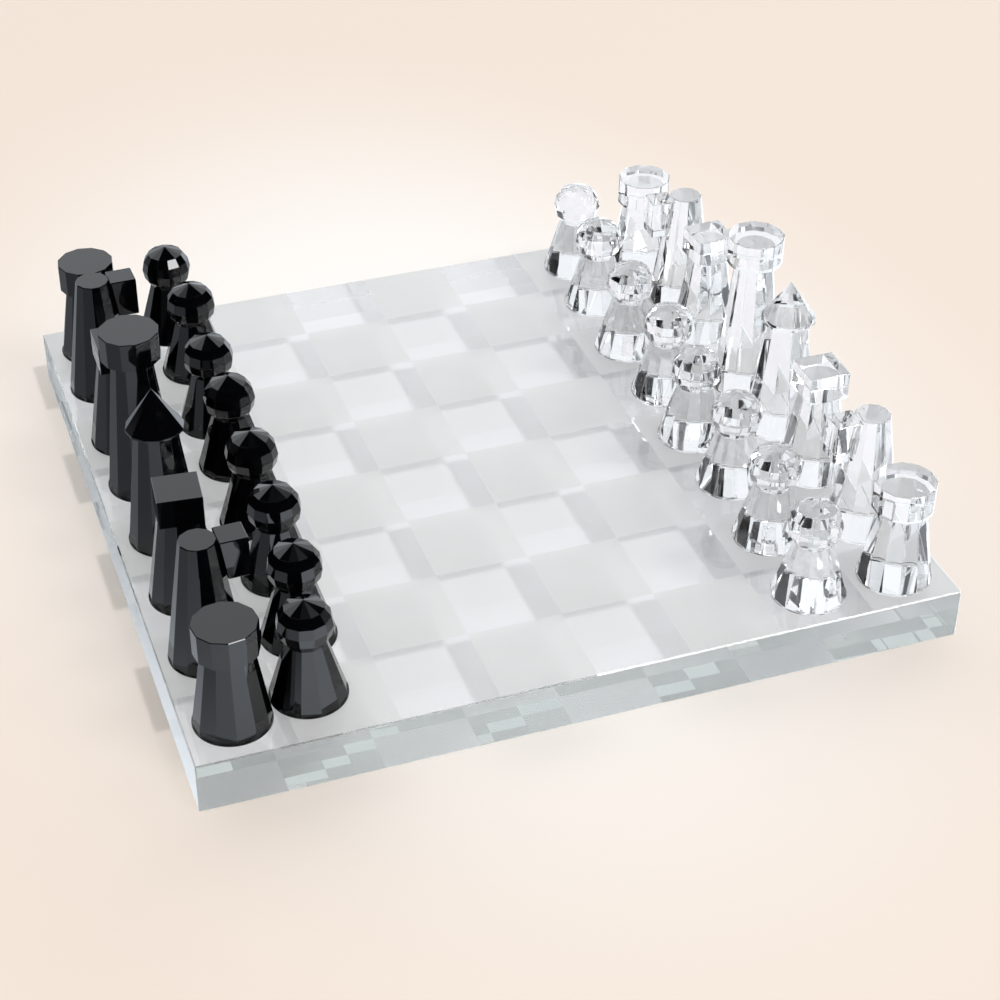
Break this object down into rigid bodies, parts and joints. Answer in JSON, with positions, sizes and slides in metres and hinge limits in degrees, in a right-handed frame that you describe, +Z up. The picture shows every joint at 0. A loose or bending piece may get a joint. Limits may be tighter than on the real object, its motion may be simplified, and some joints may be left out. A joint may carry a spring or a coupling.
{
  "type": "chess set with board",
  "caption": "Faceted glass chess men, black and clear, each free to lift off a thick clear glass board with frosted squares.",
  "frame": {"origin": "middle of the board's underside, on the surface it stands on", "axes": "+Z up; +X from the black men towards the clear men; +Y from file a to file h"},
  "size_m": [0.35, 0.35, 0.1103],
  "materials": {
    "board_crystal": "polished slab with alternate squares sand-frosted on top",
    "clear_crystal": "cut and polished",
    "black_crystal": "cut and polished, opaque"
  },
  "bodies": {
    "board": {"board": "board_crystal"},
    "black_rook_a": {"black_rook_a": "black_crystal"},
    "black_knight_b": {"black_knight_b": "black_crystal"},
    "black_bishop_c": {"black_bishop_c": "black_crystal"},
    "black_queen": {"black_queen": "black_crystal"},
    "black_king": {"black_king": "black_crystal"},
    "black_bishop_f": {"black_bishop_f": "black_crystal"},
    "black_knight_g": {"black_knight_g": "black_crystal"},
    "black_rook_h": {"black_rook_h": "black_crystal"},
    "black_pawn_a": {"black_pawn_a": "black_crystal"},
    "black_pawn_b": {"black_pawn_b": "black_crystal"},
    "black_pawn_c": {"black_pawn_c": "black_crystal"},
    "black_pawn_d": {"black_pawn_d": "black_crystal"},
    "black_pawn_e": {"black_pawn_e": "black_crystal"},
    "black_pawn_f": {"black_pawn_f": "black_crystal"},
    "black_pawn_g": {"black_pawn_g": "black_crystal"},
    "black_pawn_h": {"black_pawn_h": "black_crystal"},
    "clear_rook_a": {"clear_rook_a": "clear_crystal"},
    "clear_knight_b": {"clear_knight_b": "clear_crystal"},
    "clear_bishop_c": {"clear_bishop_c": "clear_crystal"},
    "clear_queen": {"clear_queen": "clear_crystal"},
    "clear_king": {"clear_king": "clear_crystal"},
    "clear_bishop_f": {"clear_bishop_f": "clear_crystal"},
    "clear_knight_g": {"clear_knight_g": "clear_crystal"},
    "clear_rook_h": {"clear_rook_h": "clear_crystal"},
    "clear_pawn_a": {"clear_pawn_a": "clear_crystal"},
    "clear_pawn_b": {"clear_pawn_b": "clear_crystal"},
    "clear_pawn_c": {"clear_pawn_c": "clear_crystal"},
    "clear_pawn_d": {"clear_pawn_d": "clear_crystal"},
    "clear_pawn_e": {"clear_pawn_e": "clear_crystal"},
    "clear_pawn_f": {"clear_pawn_f": "clear_crystal"},
    "clear_pawn_g": {"clear_pawn_g": "clear_crystal"},
    "clear_pawn_h": {"clear_pawn_h": "clear_crystal"}
  },
  "joints": [
    {"name": "black_rook_a_lift", "type": "slide", "parent": "board", "child": "black_rook_a", "axis": [0, 0, 1], "range_m": [0, 0.12]},
    {"name": "black_knight_b_lift", "type": "slide", "parent": "board", "child": "black_knight_b", "axis": [0, 0, 1], "range_m": [0, 0.12]},
    {"name": "black_bishop_c_lift", "type": "slide", "parent": "board", "child": "black_bishop_c", "axis": [0, 0, 1], "range_m": [0, 0.12]},
    {"name": "black_queen_lift", "type": "slide", "parent": "board", "child": "black_queen", "axis": [0, 0, 1], "range_m": [0, 0.12]},
    {"name": "black_king_lift", "type": "slide", "parent": "board", "child": "black_king", "axis": [0, 0, 1], "range_m": [0, 0.12]},
    {"name": "black_bishop_f_lift", "type": "slide", "parent": "board", "child": "black_bishop_f", "axis": [0, 0, 1], "range_m": [0, 0.12]},
    {"name": "black_knight_g_lift", "type": "slide", "parent": "board", "child": "black_knight_g", "axis": [0, 0, 1], "range_m": [0, 0.12]},
    {"name": "black_rook_h_lift", "type": "slide", "parent": "board", "child": "black_rook_h", "axis": [0, 0, 1], "range_m": [0, 0.12]},
    {"name": "black_pawn_a_lift", "type": "slide", "parent": "board", "child": "black_pawn_a", "axis": [0, 0, 1], "range_m": [0, 0.12]},
    {"name": "black_pawn_b_lift", "type": "slide", "parent": "board", "child": "black_pawn_b", "axis": [0, 0, 1], "range_m": [0, 0.12]},
    {"name": "black_pawn_c_lift", "type": "slide", "parent": "board", "child": "black_pawn_c", "axis": [0, 0, 1], "range_m": [0, 0.12]},
    {"name": "black_pawn_d_lift", "type": "slide", "parent": "board", "child": "black_pawn_d", "axis": [0, 0, 1], "range_m": [0, 0.12]},
    {"name": "black_pawn_e_lift", "type": "slide", "parent": "board", "child": "black_pawn_e", "axis": [0, 0, 1], "range_m": [0, 0.12]},
    {"name": "black_pawn_f_lift", "type": "slide", "parent": "board", "child": "black_pawn_f", "axis": [0, 0, 1], "range_m": [0, 0.12]},
    {"name": "black_pawn_g_lift", "type": "slide", "parent": "board", "child": "black_pawn_g", "axis": [0, 0, 1], "range_m": [0, 0.12]},
    {"name": "black_pawn_h_lift", "type": "slide", "parent": "board", "child": "black_pawn_h", "axis": [0, 0, 1], "range_m": [0, 0.12]},
    {"name": "clear_rook_a_lift", "type": "slide", "parent": "board", "child": "clear_rook_a", "axis": [0, 0, 1], "range_m": [0, 0.12]},
    {"name": "clear_knight_b_lift", "type": "slide", "parent": "board", "child": "clear_knight_b", "axis": [0, 0, 1], "range_m": [0, 0.12]},
    {"name": "clear_bishop_c_lift", "type": "slide", "parent": "board", "child": "clear_bishop_c", "axis": [0, 0, 1], "range_m": [0, 0.12]},
    {"name": "clear_queen_lift", "type": "slide", "parent": "board", "child": "clear_queen", "axis": [0, 0, 1], "range_m": [0, 0.12]},
    {"name": "clear_king_lift", "type": "slide", "parent": "board", "child": "clear_king", "axis": [0, 0, 1], "range_m": [0, 0.12]},
    {"name": "clear_bishop_f_lift", "type": "slide", "parent": "board", "child": "clear_bishop_f", "axis": [0, 0, 1], "range_m": [0, 0.12]},
    {"name": "clear_knight_g_lift", "type": "slide", "parent": "board", "child": "clear_knight_g", "axis": [0, 0, 1], "range_m": [0, 0.12]},
    {"name": "clear_rook_h_lift", "type": "slide", "parent": "board", "child": "clear_rook_h", "axis": [0, 0, 1], "range_m": [0, 0.12]},
    {"name": "clear_pawn_a_lift", "type": "slide", "parent": "board", "child": "clear_pawn_a", "axis": [0, 0, 1], "range_m": [0, 0.12]},
    {"name": "clear_pawn_b_lift", "type": "slide", "parent": "board", "child": "clear_pawn_b", "axis": [0, 0, 1], "range_m": [0, 0.12]},
    {"name": "clear_pawn_c_lift", "type": "slide", "parent": "board", "child": "clear_pawn_c", "axis": [0, 0, 1], "range_m": [0, 0.12]},
    {"name": "clear_pawn_d_lift", "type": "slide", "parent": "board", "child": "clear_pawn_d", "axis": [0, 0, 1], "range_m": [0, 0.12]},
    {"name": "clear_pawn_e_lift", "type": "slide", "parent": "board", "child": "clear_pawn_e", "axis": [0, 0, 1], "range_m": [0, 0.12]},
    {"name": "clear_pawn_f_lift", "type": "slide", "parent": "board", "child": "clear_pawn_f", "axis": [0, 0, 1], "range_m": [0, 0.12]},
    {"name": "clear_pawn_g_lift", "type": "slide", "parent": "board", "child": "clear_pawn_g", "axis": [0, 0, 1], "range_m": [0, 0.12]},
    {"name": "clear_pawn_h_lift", "type": "slide", "parent": "board", "child": "clear_pawn_h", "axis": [0, 0, 1], "range_m": [0, 0.12]}
  ]
}
